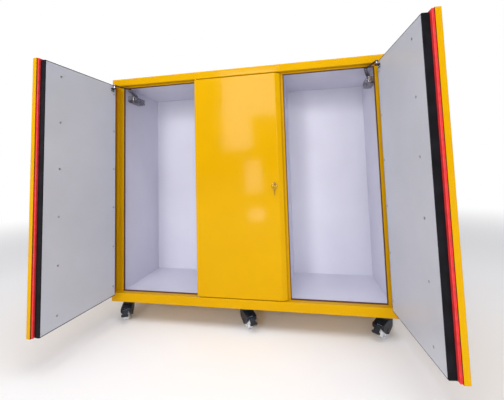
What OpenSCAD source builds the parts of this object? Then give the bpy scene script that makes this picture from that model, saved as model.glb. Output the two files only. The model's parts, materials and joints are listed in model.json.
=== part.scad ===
/* [Body] */
// Overall width of the cabinet body
body_w = 1195; // [1150:5:1300]
// Height of the body above the castors
body_h = 1000; // [900:5:1200]
// Depth from the face of the rails to the back
body_d = 405; // [360:5:500]
// Height of the castors under the body
castor_h = 84; // [82:1:92]

/* [Front frame] */
// Height of the rail above the doors
top_rail_h = 32; // [26:1:50]
// Height of the rail below the doors
bottom_rail_h = 38; // [30:1:50]
// Depth of the rails, in front of the posts and mullions
rail_d = 25; // [24:0.5:28]
// Width of each outer post, with its dark strip
post_w = 45; // [42:1:52]
// Width of each mullion, with its dark strips
mullion_w = 36; // [34:1:44]
// Left edge of the mullion between the left and middle bays
mullion_a_x = 392; // [380:1:394]
// Left edge of the mullion between the middle and right bays
mullion_b_x = 755; // [745:1:758]

/* [Doors] */
// Depth of the yellow pan of a door
pan_d = 16.5; // [14:0.5:17]
// Thickness of the red heat-swelling seal
seal_t = 7; // [5:0.5:7.5]
// Whole thickness of a door
door_t = 45; // [36:1:48]
// How far the left door stands open
left_open = 95.2; // [80:0.1:96]
// How far the right door stands open
right_open = 95; // [80:0.1:96]
// Width of the bevelled grip along the free edge of the middle door
grip_w = 20; // [12:1:26]
// Height of the lock above the underside of the body
lock_z = 500; // [420:1:560]

/* [Castors] */
// Diameter of each wheel
wheel_d = 60; // [56:1:62]
// Width of each wheel
wheel_w = 24; // [22:1:26]
// Swivel angles of the three front castors
front_turn = [20, 35, -40];

/* [Hidden] */
$fn = 48;

// Walls: outer sheet, fire board, liner
skin_t = 1.5;
liner_t = 3;
wall_t = 26;
top_t = 22;
floor_t = 27;
partition_t = 24;
frame_back = rail_d + 8;
partition_front = rail_d + 36;
liner_back = body_d - wall_t;

// Openings: the dark strip lines each one
strip_t = 3;
strip_d = 8;
sheet_t = 1.5;
leg_in = 2 * skin_t;
open_z0 = bottom_rail_h + strip_t;
open_z1 = body_h - top_rail_h - 8;

// Doors, in coordinates with the hinge axis at 0, 0
hinge_in = 4.5;
hinge_back = 5.5;
pin_r = 2.5;
pin_clear = 0.05;
side_gap = 3.5;
door_gap = 3;
pan_z0 = bottom_rail_h + 3;
pan_z1 = body_h - top_rail_h - 3;
core_gap = 3;
core_z0 = open_z0 + core_gap;
core_z1 = open_z1 - core_gap;
seal_lap = 14;
liner_inset = 3;
door_liner_t = 1.5;
bevel_d = 9;
block_w = 14;
block_h = 22;
screw_rows = 6;

left_axis_x = side_gap + hinge_in;
left_free = mullion_a_x + 6.5;
middle_edge = left_free + door_gap;
middle_axis_x = middle_edge + hinge_in;
middle_free = mullion_b_x + 22;
right_edge_gap = 4;
left_pan_w = left_free - side_gap;
middle_pan_w = middle_free - middle_edge;
right_pan_w = body_w - side_gap - middle_free - right_edge_gap;

left_core = [post_w + core_gap - left_axis_x, mullion_a_x - core_gap - left_axis_x];
middle_core = [mullion_a_x + mullion_w + core_gap - middle_axis_x,
               mullion_b_x - core_gap - middle_axis_x];
right_core = [post_w + core_gap - left_axis_x,
              body_w - mullion_b_x - mullion_w - core_gap - left_axis_x];

// The front is placed so that the open doors and the back reach equally far
door_reach = (right_pan_w - hinge_in) * sin(right_open)
             - (pan_d - hinge_back) * cos(right_open) - hinge_back;
front_y = (door_reach - body_d) / 2;

// Lock
lock_x = middle_free - 37;
lock_r = 9;
plug_r = 5;
cam_y = 36;
cam_t = 2.5;
cam_len = 27;

// Closers
closer_y = [82, 186];
closer_z = [911, 940];
closer_out = 32;
spindle = [45, 122];
arm_len = 105;
link_len = 85;
link_pin = [62, 50];
arm_z = 947;
link_z = 952;

// Castors
castor_in = 52;
castor_y = [50, body_d - 70];
trail = 22;
axle_r = 5;
fork_w = 44;
fork_gap = 1.5;
wheel_r = wheel_d / 2;

YELLOW = [0.93, 0.68, 0.05];
WHITE = [0.86, 0.86, 0.90];
BLACK = [0.07, 0.07, 0.08];
RED = [0.80, 0.15, 0.15];
STEEL = [0.72, 0.72, 0.74];
BOARD = [0.78, 0.76, 0.70];
DARK = [0.30, 0.14, 0.08];

// Box from one corner to the opposite one
module block(a, b) {
  translate(a) cube(b - a);
}

// Places children in body coordinates: 0 at the left end, the face of the rails and the underside
module body_frame() {
  translate([-body_w / 2, front_y, castor_h]) children();
}

// Mirrors children about the middle of the body's width
module right_hand() {
  translate([body_w, 0, 0]) mirror([1, 0, 0]) children();
}

// Rod along X, Y or Z between two heights on its axis
module rod_x(r, x0, x1) { translate([x0, 0, 0]) rotate([0, 90, 0]) cylinder(r = r, h = x1 - x0); }
module rod_y(r, y0, y1) { translate([0, y0, 0]) rotate([-90, 0, 0]) cylinder(r = r, h = y1 - y0); }
module rod_z(r, z0, z1) { translate([0, 0, z0]) cylinder(r = r, h = z1 - z0); }

// ---- Body ----

module side_skin() {
  block([0, rail_d, 0], [skin_t, body_d, body_h]);
}

module left_side_panel() { color(YELLOW) body_frame() side_skin(); }
module right_side_panel() { color(YELLOW) body_frame() right_hand() side_skin(); }

module top_panel() {
  color(YELLOW) body_frame()
    block([skin_t, rail_d, body_h - skin_t], [body_w - skin_t, body_d - skin_t, body_h]);
}

module base_panel() {
  color(YELLOW) body_frame() difference() {
    block([skin_t, rail_d, 0], [body_w - skin_t, body_d - skin_t, skin_t]);
    each_castor() bolt_shanks(-1, skin_t + 1);
  }
}

module back_panel() {
  color(YELLOW) body_frame()
    block([skin_t, body_d - skin_t, 0], [body_w - skin_t, body_d, body_h]);
}

// Fire boards: sides, back, top and base, each between an outer sheet and a liner
module wall_fire_boards() {
  side_y1 = body_d - skin_t;
  color(BOARD) body_frame() {
    block([skin_t, frame_back, skin_t], [wall_t - liner_t, side_y1, body_h - skin_t]);
    right_hand()
      block([skin_t, frame_back, skin_t], [wall_t - liner_t, side_y1, body_h - skin_t]);
    block([wall_t - liner_t, liner_back + liner_t, skin_t],
          [body_w - wall_t + liner_t, side_y1, body_h - skin_t]);
    block([wall_t - liner_t, frame_back, body_h - top_t + liner_t],
          [body_w - wall_t + liner_t, liner_back + liner_t, body_h - skin_t]);
    block([wall_t - liner_t, frame_back, skin_t],
          [body_w - wall_t + liner_t, liner_back + liner_t, floor_t - liner_t]);
  }
}

module side_liner() {
  block([wall_t - liner_t, frame_back, floor_t - liner_t],
        [wall_t, liner_back + liner_t, body_h - top_t + liner_t]);
}

module left_liner() { color(WHITE) body_frame() side_liner(); }
module right_liner() { color(WHITE) body_frame() right_hand() side_liner(); }

module back_liner() {
  color(WHITE) body_frame()
    block([wall_t, liner_back, floor_t - liner_t],
          [body_w - wall_t, liner_back + liner_t, body_h - top_t + liner_t]);
}

module ceiling_liner() {
  color(WHITE) body_frame()
    block([wall_t, frame_back, body_h - top_t],
          [body_w - wall_t, liner_back, body_h - top_t + liner_t]);
}

module floor_liner() {
  color(WHITE) body_frame()
    block([wall_t, frame_back, floor_t - liner_t], [body_w - wall_t, liner_back, floor_t]);
}

// Boards between the bays, each centred behind its mullion
module partitions() {
  color(WHITE) body_frame()
    for (x = [mullion_a_x, mullion_b_x] + [mullion_w, mullion_w] / 2)
      block([x - partition_t / 2, partition_front, floor_t],
            [x + partition_t / 2, liner_back, body_h - top_t]);
}

// ---- Front frame ----

// Folded rail: a channel open at the back, with closed ends
module channel(z0, z1) {
  difference() {
    block([0, 0, z0], [body_w, rail_d, z1]);
    block([sheet_t, sheet_t, z0 + sheet_t], [body_w - sheet_t, rail_d + 1, z1 - sheet_t]);
    children();
  }
}

// Holes in a rail for the pivot pins
module pin_holes(z0, z1) {
  for (x = [left_axis_x, middle_axis_x, body_w - left_axis_x])
    translate([x, hinge_back, 0]) rod_z(pin_r, z0, z1);
}

// The rail's back leg is the edge of the openings that the doors close on
module top_rail() {
  rail_z = body_h - top_rail_h;
  lip_z = open_z1 + strip_t;
  color(YELLOW) body_frame() {
    union() {
      channel(rail_z, body_h) pin_holes(rail_z - 1, rail_z + sheet_t + 1);
      block([leg_in, rail_d, lip_z], [body_w - leg_in, rail_d + sheet_t, body_h - leg_in]);
      block([post_w, rail_d, lip_z], [body_w - post_w, rail_d + strip_d, lip_z + sheet_t]);
    }
  }
}

module bottom_rail() {
  color(YELLOW) body_frame() {
    union() {
      channel(0, bottom_rail_h) pin_holes(bottom_rail_h - sheet_t - 1, bottom_rail_h + 1);
      block([leg_in, rail_d, leg_in], [body_w - leg_in, rail_d + sheet_t, bottom_rail_h]);
      block([post_w, rail_d, bottom_rail_h - sheet_t],
            [body_w - post_w, frame_back, bottom_rail_h]);
    }
  }
}

post_z0 = bottom_rail_h;
post_z1 = body_h - top_rail_h - 8 + strip_t;

// Folded post: face, return into the opening, and a leg along the side sheet
module post() {
  y0 = rail_d;
  block([skin_t, y0, post_z0], [post_w - strip_t, y0 + sheet_t, post_z1]);
  block([post_w - strip_t - sheet_t, y0, post_z0], [post_w - strip_t, y0 + strip_d, post_z1]);
  block([skin_t, y0, post_z0], [skin_t + sheet_t, frame_back, post_z1]);
}

module posts() {
  color(YELLOW) body_frame() {
    union() post();
    right_hand() union() post();
  }
}

// Folded mullion: face with a return at each opening, and a web back to the partition
module mullion(x) {
  x0 = x + strip_t;
  x1 = x + mullion_w - strip_t;
  y0 = rail_d;
  union() {
    block([x0, y0, post_z0], [x1, y0 + sheet_t, post_z1]);
    block([x0, y0, post_z0], [x0 + sheet_t, y0 + strip_d, post_z1]);
    block([x1 - sheet_t, y0, post_z0], [x1, y0 + strip_d, post_z1]);
    block([x + mullion_w / 2 - 1, y0, post_z0], [x + mullion_w / 2 + 1, partition_front, post_z1]);
  }
}

module mullions() {
  color(YELLOW) body_frame() {
    mullion(mullion_a_x);
    mullion(mullion_b_x);
  }
}

// Dark strip round one opening
module opening_strip(x0, x1) {
  y0 = rail_d + 0.2;
  y1 = rail_d + strip_d;
  difference() {
    block([x0 - strip_t, y0, open_z0 - strip_t], [x1 + strip_t, y1, open_z1 + strip_t]);
    block([x0, y0 - 1, open_z0], [x1, y1 + 1, open_z1]);
  }
}

module opening_strips() {
  color(DARK) body_frame() {
    opening_strip(post_w, mullion_a_x);
    opening_strip(mullion_a_x + mullion_w, mullion_b_x);
    opening_strip(mullion_b_x + mullion_w, body_w - post_w);
  }
}

// One pin at the top and one at the bottom of each door
module pivot_pins() {
  reach = 12;
  color(STEEL) body_frame()
    for (x = [left_axis_x, middle_axis_x, body_w - left_axis_x])
      translate([x, hinge_back, 0]) {
        rod_z(pin_r, bottom_rail_h - sheet_t, pan_z0 + reach);
        rod_z(pin_r, pan_z1 - reach, body_h - top_rail_h + sheet_t);
      }
}

// ---- Doors, closed, with the hinge axis along Z at 0, 0 ----

// Folded pan filled at the pivots; grip is the width of a bevelled free edge
module pan(w, grip) {
  x0 = -hinge_in;
  x1 = w - hinge_in;
  y0 = -hinge_back;
  y1 = pan_d - hinge_back;
  difference() {
    union() {
      difference() {
        translate([0, 0, pan_z0]) linear_extrude(pan_z1 - pan_z0)
          pan_outline(x0, x1, y0, y1, grip);
        translate([0, 0, pan_z0 + sheet_t]) linear_extrude(pan_z1 - pan_z0 - 2 * sheet_t)
          pan_outline(x0 + sheet_t, x1 - sheet_t, y0 + sheet_t, y1 + 1, grip);
      }
      for (z = [pan_z0, pan_z1 - block_h])
        block([x0, y0, z], [x0 + block_w, y1, z + block_h]);
    }
    rod_z(pin_r + pin_clear, pan_z0 - 1, pan_z0 + 12.5);
    rod_z(pin_r + pin_clear, pan_z1 - 12.5, pan_z1 + 1);
    children();
  }
}

module pan_outline(x0, x1, y0, y1, grip) {
  if (grip > 0)
    polygon([[x0, y0], [x1 - grip, y0], [x1, y0 + bevel_d], [x1, y1], [x0, y1]]);
  else
    polygon([[x0, y0], [x1, y0], [x1, y1], [x0, y1]]);
}

// Red seal: a ring between the pan's border and the frame
module door_seal(w, core) {
  x0 = 12;
  x1 = w - hinge_in - 3;
  y0 = pan_d - hinge_back;
  difference() {
    block([x0, y0, pan_z0 + 1.5], [x1, y0 + seal_t, pan_z1 - 1.5]);
    seal_window(core, y0 - 1, y0 + seal_t + 1);
    children();
  }
}

// The space inside the seal's ring
module seal_window(core, y0, y1) {
  block([core[0] + seal_lap, y0, core_z0 + seal_lap], [core[1] - seal_lap, y1, core_z1 - seal_lap]);
}

// Black-edged fire board behind the seal, with a raised rim round the inner panel
module door_core(core, w, grip) {
  y0 = pan_d + seal_t - hinge_back;
  y1 = door_t - hinge_back;
  fill_x0 = block_w - hinge_in;
  fill_x1 = w - hinge_in - sheet_t - grip;
  difference() {
    union() {
      block([core[0], y0, core_z0], [core[1], y1, core_z1]);
      seal_window(core, pan_d - hinge_back, y0);
      block([fill_x0, sheet_t - hinge_back, pan_z0 + sheet_t],
            [fill_x1, pan_d - hinge_back, pan_z1 - sheet_t]);
    }
    block([core[0] + liner_inset, y1 - door_liner_t, core_z0 + liner_inset],
          [core[1] - liner_inset, y1 + 1, core_z1 - liner_inset]);
    screw_places(core) rod_y(1.5, y0 + 2, y1 + 1);
    children();
  }
}

module door_liner(core) {
  y1 = door_t - hinge_back;
  difference() {
    block([core[0] + liner_inset, y1 - door_liner_t, core_z0 + liner_inset],
          [core[1] - liner_inset, y1, core_z1 - liner_inset]);
    screw_places(core) rod_y(1.5, y1 - door_liner_t - 1, y1 + 1);
  }
}

// Two columns of screws: one near the hinge, one near the free edge
module screw_places(core) {
  top = core_z1 - 42;
  bottom = core_z0 + 42;
  for (x = [core[0] + 13, core[1] - 62])
    for (i = [0 : screw_rows - 1])
      translate([x, 0, bottom + i * (top - bottom) / (screw_rows - 1)]) children();
}

module door_screws(core) {
  y1 = door_t - hinge_back;
  screw_places(core) union() {
    rod_y(1.5, y1 - 16, y1 + 0.4);
    rod_y(4, y1, y1 + 1.2);
  }
}

// Bracket on the inner panel that carries the closer's link
module link_bracket() {
  y1 = door_t - hinge_back;
  x = link_pin[0];
  y = link_pin[1];
  plate_z1 = arm_z - 6;
  difference() {
    union() {
      block([x - 9, y1, plate_z1 - 14], [x + 9, y1 + 2.5, plate_z1]);
      block([x - 9, y1, plate_z1 - 4], [x + 9, y + 6, plate_z1]);
      translate([x, y, 0]) rod_z(3, plate_z1 - 1, link_z + 5);
    }
    translate([x, y, 0]) rod_z(1, link_z + 3, link_z + 6);
  }
}

// Turns a door about its hinge; 0 is shut
module hung(axis_x, angle) {
  body_frame() translate([axis_x, hinge_back, 0]) rotate([0, 0, -angle]) children();
}

module left_hung() { hung(left_axis_x, left_open) children(); }
module middle_hung() { hung(middle_axis_x, 0) children(); }
module right_hung() {
  body_frame() right_hand() translate([left_axis_x, hinge_back, 0]) rotate([0, 0, -right_open])
    children();
}

module left_door_pan() { color(YELLOW) left_hung() pan(left_pan_w, 0); }
module left_door_seal() { color(RED) left_hung() door_seal(left_pan_w, left_core); }
module left_door_core() { color(BLACK) left_hung() door_core(left_core, left_pan_w, 0); }
module left_door_liner() { color(WHITE) left_hung() door_liner(left_core); }
module left_door_screws() { color(STEEL) left_hung() door_screws(left_core); }
module left_door_bracket() { color(STEEL) left_hung() link_bracket(); }

module right_door_pan() { color(YELLOW) right_hung() pan(right_pan_w, 0); }
module right_door_seal() { color(RED) right_hung() door_seal(right_pan_w, right_core); }
module right_door_core() { color(BLACK) right_hung() door_core(right_core, right_pan_w, 0); }
module right_door_liner() { color(WHITE) right_hung() door_liner(right_core); }
module right_door_screws() { color(STEEL) right_hung() door_screws(right_core); }
module right_door_bracket() { color(STEEL) right_hung() link_bracket(); }

// The lock's place in the middle door's coordinates
module at_lock() {
  translate([lock_x - middle_axis_x, -hinge_back, lock_z]) children();
}

// Hole through the middle door for the lock's body
module lock_hole() {
  rod_y(lock_r + pin_clear, -1, cam_y);
}

module middle_door_pan() {
  color(YELLOW) middle_hung() pan(middle_pan_w, grip_w) at_lock() lock_hole();
}

module middle_door_seal() {
  color(RED) middle_hung() door_seal(middle_pan_w, middle_core) at_lock() lock_hole();
}

// The cam swings in a pocket that opens at the free edge
module middle_door_core() {
  pocket_w = mullion_b_x - core_gap - lock_x;
  color(BLACK) middle_hung() door_core(middle_core, middle_pan_w, grip_w) at_lock() {
    lock_hole();
    block([-10, cam_y - 1, -10], [pocket_w + 1, cam_y + cam_t + 1, cam_len + 3]);
  }
}

module middle_door_liner() { color(WHITE) middle_hung() door_liner(middle_core); }
module middle_door_screws() { color(STEEL) middle_hung() door_screws(middle_core); }

// ---- Lock ----

module lock_body() {
  color(STEEL) middle_hung() at_lock() difference() {
    union() {
      rod_y(10, -2.5, 0);
      rod_y(lock_r, -2.5, cam_y - 1);
    }
    rod_y(plug_r + 0.05, -4, cam_y);
  }
}

module lock_plug() {
  color(STEEL) middle_hung() at_lock() difference() {
    rod_y(plug_r, -3.2, cam_y);
    block([-1.1, -4, -4], [1.1, 16, 4]);
  }
}

module lock_cam() {
  color(STEEL) middle_hung() at_lock()
    translate([0, cam_y, 0]) rotate([-90, 0, 0]) linear_extrude(cam_t) difference() {
      union() {
        circle(r = 7.5);
        translate([-5, -cam_len]) square([10, cam_len]);
      }
      circle(r = 1.5);
    }
}

// Key: a blade in the plug, a round shank, and a flat bow with a hole
module lock_key() {
  color(STEEL) middle_hung() at_lock() difference() {
    union() {
      block([-0.9, -4, -3.8], [0.9, 15, 3.8]);
      rod_y(3, -12, -4);
      translate([-1.1, -22, 0]) rotate([0, 90, 0]) cylinder(r = 11.5, h = 2.2);
    }
    translate([-2, -28, 0]) rotate([0, 90, 0]) cylinder(r = 2.6, h = 4);
  }
}

// Ring hung over the shank, and the spare key under it
module spare_key() {
  ring_r = 11;
  wire_r = 0.9;
  ring_z = -(ring_r - wire_r - 3.3);
  low_z = ring_z - ring_r;
  color(STEEL) middle_hung() at_lock() translate([0, -8, 0]) {
    translate([0, 0, ring_z]) rotate([90, 0, 0]) rotate_extrude() translate([ring_r, 0])
      circle(r = wire_r, $fn = 16);
    translate([-1, 0, low_z - 4]) difference() {
      union() {
        rotate([0, 90, 0]) cylinder(r = 6.5, h = 2);
        block([0, -2.5, -22], [2, 2.5, -5]);
      }
      translate([-1, 0, 3]) rotate([0, 90, 0]) cylinder(r = 2.3, h = 4);
    }
  }
}

// ---- Door closers ----

// Cast body on the side liner, with a bore for the spindle and two fixing screws
module closer_body() {
  x0 = wall_t;
  x1 = wall_t + closer_out;
  z0 = closer_z[0];
  z1 = closer_z[1];
  difference() {
    union() {
      block([x0, closer_y[0], z0 + 4], [x1, closer_y[1], z1]);
      block([x0, closer_y[0] + 10, z0], [x1 - 6, closer_y[1] - 10, z0 + 4]);
      translate([spindle[0], spindle[1], 0]) rod_z(11, z1, z1 + 3);
      for (y = [closer_y[0] + 12, closer_y[1] - 12])
        translate([0, y, (z0 + z1) / 2 + 2]) rod_x(5, x1, x1 + 2);
    }
    translate([spindle[0], spindle[1], 0]) rod_z(5.05, z1 - 12, z1 + 4);
  }
}

module left_closer() { color(STEEL) body_frame() closer_body(); }
module right_closer() { color(STEEL) body_frame() right_hand() closer_body(); }

// Flat bar with round ends and a hole at each
module bar(len, w, t) {
  linear_extrude(t) difference() {
    union() {
      circle(d = w);
      translate([0, -w / 2]) square([len, w]);
      translate([len, 0]) circle(d = w);
    }
    translate([len, 0]) circle(r = 3.05);
  }
}

// Directions of the closer's arm and link when the door stands open
function turn2(v, a) = [v[0] * cos(a) + v[1] * sin(a), -v[0] * sin(a) + v[1] * cos(a)];
function pin_at(angle) = [left_axis_x, hinge_back] + turn2(link_pin, angle);
function elbow_at(pin) =
  let (d = norm(pin - spindle),
       u = (pin - spindle) / d,
       a = (arm_len * arm_len - link_len * link_len + d * d) / (2 * d),
       h = sqrt(arm_len * arm_len - a * a))
  spindle + a * u + h * [-u[1], u[0]];
function heading(v) = atan2(v[1], v[0]);

// Spindle and arm, at the rest angle of a door open by angle
module closer_arm(angle) {
  aim = heading(elbow_at(pin_at(angle)) - spindle);
  translate([spindle[0], spindle[1], 0]) rotate([0, 0, aim]) {
    rod_z(5, closer_z[1] - 11.5, arm_z + 3);
    translate([0, 0, arm_z]) bar(arm_len, 16, 3);
    rod_z(7, arm_z + 3, arm_z + 4.8);
  }
}

// Link from the door's bracket to the elbow, just above the arm
module closer_link(angle) {
  pin = pin_at(angle);
  aim = heading(elbow_at(pin) - pin);
  translate([pin[0], pin[1], 0]) rotate([0, 0, aim]) {
    difference() {
      translate([0, 0, link_z]) linear_extrude(2.5) union() {
        circle(d = 13);
        translate([0, -5]) square([link_len, 10]);
        translate([link_len, 0]) circle(d = 13);
      }
      rod_z(3.05, link_z - 1, link_z + 4);
    }
    translate([link_len, 0, 0]) rod_z(2.7, link_z - 1.3, link_z + 4.5);
  }
}

module left_closer_arm() { color(STEEL) body_frame() union() closer_arm(left_open); }
module left_closer_link() { color(BLACK) body_frame() union() closer_link(left_open); }
module right_closer_arm() {
  color(STEEL) body_frame() right_hand() union() closer_arm(right_open);
}
module right_closer_link() {
  color(BLACK) body_frame() right_hand() union() closer_link(right_open);
}

// ---- Castors, with the swivel axis along Z at 0, 0 and the floor at -castor_h ----

castor_x = [castor_in, body_w / 2, body_w - castor_in];

module each_castor() {
  for (x = castor_x)
    for (y = castor_y)
      translate([x, y, 0]) children();
}

module bolt_places() {
  for (x = [-28, 28])
    for (y = [-21, 21])
      translate([x, y, 0]) children();
}

module bolt_shanks(z0, z1) {
  bolt_places() rod_z(3, z0, z1);
}

plate_t = 3;
race_z = -10;
crown_z = -18;
pedal_y = -trail - 31;
pedal_z = crown_z - 15;

// Top plates with their ball races, and the bolts that hold them
module castor_plates() {
  color(STEEL) body_frame() each_castor() {
    difference() {
      union() {
        block([-35, -30, -plate_t], [35, 30, 0]);
        rod_z(24, race_z, -plate_t);
      }
      rod_z(6.05, race_z - 1, -plate_t - 0.5);
      bolt_shanks(-plate_t - 1, 1);
    }
    bolt_places() union() {
      rod_z(3, -plate_t - 1, skin_t);
      translate([0, 0, -plate_t - 5]) cylinder(r = 6, h = 5, $fn = 6);
    }
  }
}

// Hooded fork: crown, two cheeks joined front and back over the wheel, king pin and axle
module fork() {
  half = fork_w / 2;
  axle_z = wheel_r - castor_h;
  inner = wheel_w / 2 + fork_gap;
  union() {
    difference() {
      union() {
        rod_z(23, crown_z, race_z - 0.4);
        rotate([90, 0, 90]) translate([0, 0, -half]) linear_extrude(fork_w)
          polygon([[20, crown_z + 1], [14, crown_z - 30], [-trail + 8, axle_z - 10],
                   [-trail - 8, axle_z - 10], [pedal_y - 6, pedal_z - 7], [pedal_y - 6, pedal_z + 6],
                   [-22, crown_z + 1]]);
      }
      translate([0, -trail, axle_z]) rod_x(wheel_r + 3, -inner, inner);
      block([-inner, pedal_y - 40, axle_z - 40], [inner, pedal_y + 12, crown_z]);
    }
    rod_z(6, race_z - 1, -plate_t - 1);
    translate([0, -trail, axle_z]) rod_x(axle_r, -half - 1.5, half + 1.5);
  }
}

// Wheel about the X axis
module wheel() {
  half = wheel_w / 2;
  rotate([0, 90, 0]) rotate_extrude() polygon([
    [axle_r + 0.05, -half], [12, -half], [14, -half + 3], [wheel_r - 9, -half + 3],
    [wheel_r - 7, -half], [wheel_r - 3, -half], [wheel_r, -half + 4], [wheel_r, half - 4],
    [wheel_r - 3, half], [wheel_r - 7, half], [wheel_r - 9, half - 3], [14, half - 3],
    [12, half], [axle_r + 0.05, half]]);
}

// Brake pedal on the trailing side, turning on a pin through the cheeks
module pedal() {
  slope = 38;
  translate([0, pedal_y, pedal_z]) difference() {
    union() {
      rod_x(4.5, -12, 12);
      rotate([slope, 0, 0]) block([-11, -22, -1.5], [11, -2.6, 2.5]);
      rotate([slope, 0, 0]) block([-15, -30, -3.5], [15, -21, 3.5]);
    }
    rod_x(2.05, -16, 16);
  }
}

// Fixed castors at the back: fork and plate pin in one piece, wheel trailing to the back
module rear_castor_forks() {
  color(BLACK) body_frame()
    for (x = castor_x) translate([x, castor_y[1], 0]) rotate([0, 0, 180]) fork();
}

module front_castor(i) {
  body_frame() translate([castor_x[i], castor_y[0], 0]) rotate([0, 0, front_turn[i]]) children();
}

module wheel_place() {
  translate([0, -trail, wheel_r - castor_h]) children();
}

module rear_castor(i) {
  body_frame() translate([castor_x[i], castor_y[1], 0]) rotate([0, 0, 180]) children();
}

// A fork with the pin that its pedal turns on
module braked_fork() {
  union() {
    fork();
    translate([0, pedal_y, pedal_z]) rod_x(2, -20, 20);
  }
}

module front_left_fork() { color(BLACK) front_castor(0) braked_fork(); }
module front_middle_fork() { color(BLACK) front_castor(1) braked_fork(); }
module front_right_fork() { color(BLACK) front_castor(2) braked_fork(); }
module front_left_wheel() { color(WHITE) front_castor(0) wheel_place() wheel(); }
module front_middle_wheel() { color(WHITE) front_castor(1) wheel_place() wheel(); }
module front_right_wheel() { color(WHITE) front_castor(2) wheel_place() wheel(); }
module rear_left_wheel() { color(WHITE) rear_castor(0) wheel_place() wheel(); }
module rear_middle_wheel() { color(WHITE) rear_castor(1) wheel_place() wheel(); }
module rear_right_wheel() { color(WHITE) rear_castor(2) wheel_place() wheel(); }
module front_left_pedal() { color(BLACK) front_castor(0) pedal(); }
module front_middle_pedal() { color(BLACK) front_castor(1) pedal(); }
module front_right_pedal() { color(BLACK) front_castor(2) pedal(); }

left_side_panel();
right_side_panel();
top_panel();
base_panel();
back_panel();
wall_fire_boards();
left_liner();
right_liner();
back_liner();
ceiling_liner();
floor_liner();
partitions();
top_rail();
bottom_rail();
posts();
mullions();
opening_strips();
pivot_pins();
left_door_pan();
left_door_seal();
left_door_core();
left_door_liner();
left_door_screws();
left_door_bracket();
middle_door_pan();
middle_door_seal();
middle_door_core();
middle_door_liner();
middle_door_screws();
right_door_pan();
right_door_seal();
right_door_core();
right_door_liner();
right_door_screws();
right_door_bracket();
lock_body();
lock_plug();
lock_cam();
lock_key();
spare_key();
left_closer();
left_closer_arm();
left_closer_link();
right_closer();
right_closer_arm();
right_closer_link();
castor_plates();
rear_castor_forks();
front_left_fork();
front_middle_fork();
front_right_fork();
front_left_wheel();
front_middle_wheel();
front_right_wheel();
rear_left_wheel();
rear_middle_wheel();
rear_right_wheel();
front_left_pedal();
front_middle_pedal();
front_right_pedal();
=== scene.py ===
import json
import math

import bmesh
import bpy
from mathutils import Matrix, Vector


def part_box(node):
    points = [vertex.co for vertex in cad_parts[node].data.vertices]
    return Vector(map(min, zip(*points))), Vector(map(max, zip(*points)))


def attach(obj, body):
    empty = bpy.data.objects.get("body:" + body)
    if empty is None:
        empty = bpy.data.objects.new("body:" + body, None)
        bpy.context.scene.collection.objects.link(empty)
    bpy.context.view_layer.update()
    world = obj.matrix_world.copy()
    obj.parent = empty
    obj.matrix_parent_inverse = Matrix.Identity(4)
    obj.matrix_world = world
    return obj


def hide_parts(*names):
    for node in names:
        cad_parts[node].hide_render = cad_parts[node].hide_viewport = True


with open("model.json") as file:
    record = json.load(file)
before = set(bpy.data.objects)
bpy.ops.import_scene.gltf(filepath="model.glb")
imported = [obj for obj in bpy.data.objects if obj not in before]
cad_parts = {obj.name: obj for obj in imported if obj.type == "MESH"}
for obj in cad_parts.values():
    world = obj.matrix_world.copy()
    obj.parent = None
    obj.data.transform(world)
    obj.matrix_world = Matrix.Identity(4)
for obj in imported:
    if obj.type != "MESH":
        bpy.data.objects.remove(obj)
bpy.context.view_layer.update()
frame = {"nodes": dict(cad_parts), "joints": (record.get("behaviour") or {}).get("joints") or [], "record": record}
nodes = frame["nodes"]
joints = {joint["name"]: joint for joint in frame["joints"]}
MM = 0.001
ORIGIN = (0, 0, 0)
X = (1, 0, 0)
Y = (0, 1, 0)
Z = (0, 0, 1)

# Sheet metal
SHEET = 1.5 * MM
BEND = 1.6 * MM
LIP_BEND = 4.5 * MM
RAIL_DEPTH = 25 * MM
LIP_DEPTH = 8 * MM
STRIP = 3 * MM
POST_WIDTH = 45 * MM
MULLION_WIDTH = 36 * MM
DOOR_GAP = 3 * MM

# Doors
GRIP_WIDTH = 20 * MM
GRIP_BEVEL = 9 * MM
RIM = 3 * MM
SCREW_ROWS = 6
SCREW_EDGE = 42 * MM
SCREW_HINGE_SIDE = 13 * MM
SCREW_FREE_SIDE = 62 * MM

# Closers, as x in from the side of the body, y back from the rail's face and z up from the underside
CLOSER_X = (26 * MM, 58 * MM)
CLOSER_Y = (82 * MM, 186 * MM)
CLOSER_Z = (911 * MM, 940 * MM)
SPINDLE = (45 * MM, 122 * MM)
SPINDLE_R = 5 * MM
ARM_LENGTH = 105 * MM
LINK_LENGTH = 85 * MM
ARM_Z = (947 * MM, 950 * MM)
LINK_Z = (952 * MM, 954.5 * MM)
LINK_PIN = (62 * MM, 50 * MM)
LINK_HOLE = 3.1 * MM
DOOR_DEPTH = 39.5 * MM

# Lock
ROSE_R = 10 * MM
BARREL_R = 9 * MM
PLUG_R = 5 * MM
RING_R = 11 * MM

# Castors, down from the underside of the body
TRAIL = 22 * MM
WHEEL_R = 30 * MM
WHEEL_HALF = 12 * MM
AXLE_Z = -54 * MM
AXLE_R = 5 * MM
FORK_HALF = 22 * MM
WHEEL_GAP_HALF = 13.5 * MM
RACE_R = 24 * MM
CROWN_TOP = -10.4 * MM
CROWN_Z = -18 * MM
PEDAL_Y = -53 * MM
PEDAL_Z = -33 * MM
PEDAL_SLOPE = 38
PLATE_HALF = (35 * MM, 30 * MM)
BOLT_AT = (28 * MM, 21 * MM)
WASHER_R = 6.8 * MM

# Angle between faces from which an edge is sharp, half angle from which a corner is straight, and rounding
SHARP = math.radians(32)
STRAIGHT = 1.55
TINY = 1e-6

# Stage
FLOOR_R = 40
FLOOR_DEPTH = 0.02


# ---- Places ----

def turn_z(degrees):
    return Matrix.Rotation(math.radians(degrees), 4, "Z")


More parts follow.
